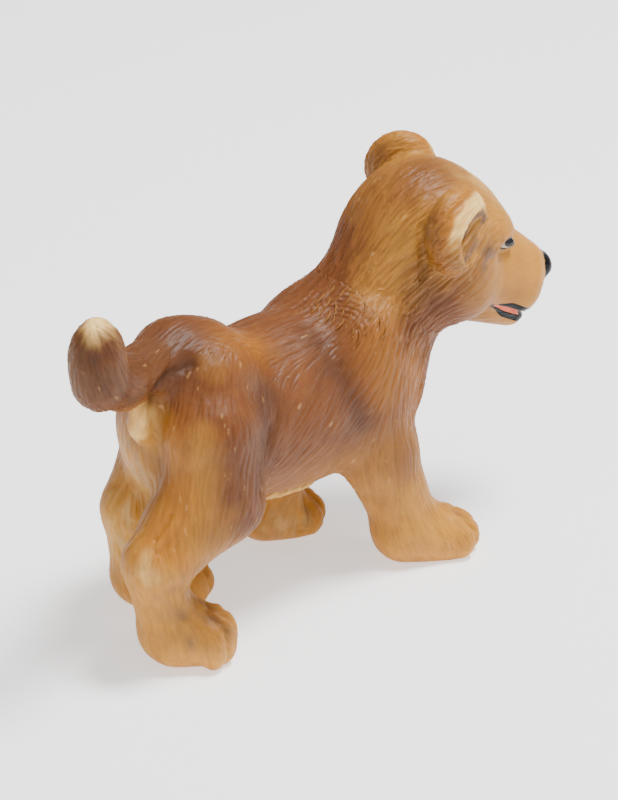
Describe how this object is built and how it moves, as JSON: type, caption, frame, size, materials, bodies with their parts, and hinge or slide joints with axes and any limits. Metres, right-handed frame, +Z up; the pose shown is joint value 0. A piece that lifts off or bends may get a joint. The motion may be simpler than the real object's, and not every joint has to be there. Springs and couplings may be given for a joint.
{
  "type": "toy wild animal figure",
  "caption": "Small solid toy figure of a standing lion cub, head turned and mouth slightly open, tail curled up to a dark tuft, walking on flat-soled paws.",
  "frame": {"origin": "on the ground, in the middle of the figure's bounding box seen from above", "axes": "+X the way the cub faces and walks, +Y its left side, +Z up"},
  "size_m": [0.0632, 0.0224, 0.0415],
  "materials": {
    "trunk_skin": "semi-gloss PVC with airbrushed reddish brown over tan",
    "head_skin": "semi-gloss PVC, golden tan face with brown crown",
    "leg_skin": "semi-gloss PVC, beige tan with yellow-orange shading",
    "tail_skin": "semi-gloss PVC with airbrushed brown",
    "tuft_paint": "purple-brown tuft with a cream tip and brown streaks",
    "ear_skin": "cream rim, brown back, greyish inside",
    "eye_paint": "black and white painted eye",
    "black_paint": "glossy black nose and lips",
    "tongue_paint": "salmon pink"
  },
  "bodies": {
    "root": {"trunk": "trunk_skin", "head": "head_skin", "lower_jaw": "head_skin", "tongue": "tongue_paint", "upper_lip": "black_paint", "lower_lip": "black_paint", "nose_pad": "black_paint", "left_eye": "eye_paint", "right_eye": "eye_paint", "left_ear": "ear_skin", "right_ear": "ear_skin", "left_front_leg": "leg_skin", "right_front_leg": "leg_skin", "left_hind_leg": "leg_skin", "right_hind_leg": "leg_skin", "tail": "tail_skin", "tail_tip": "tuft_paint"}
  },
  "joints": []
}
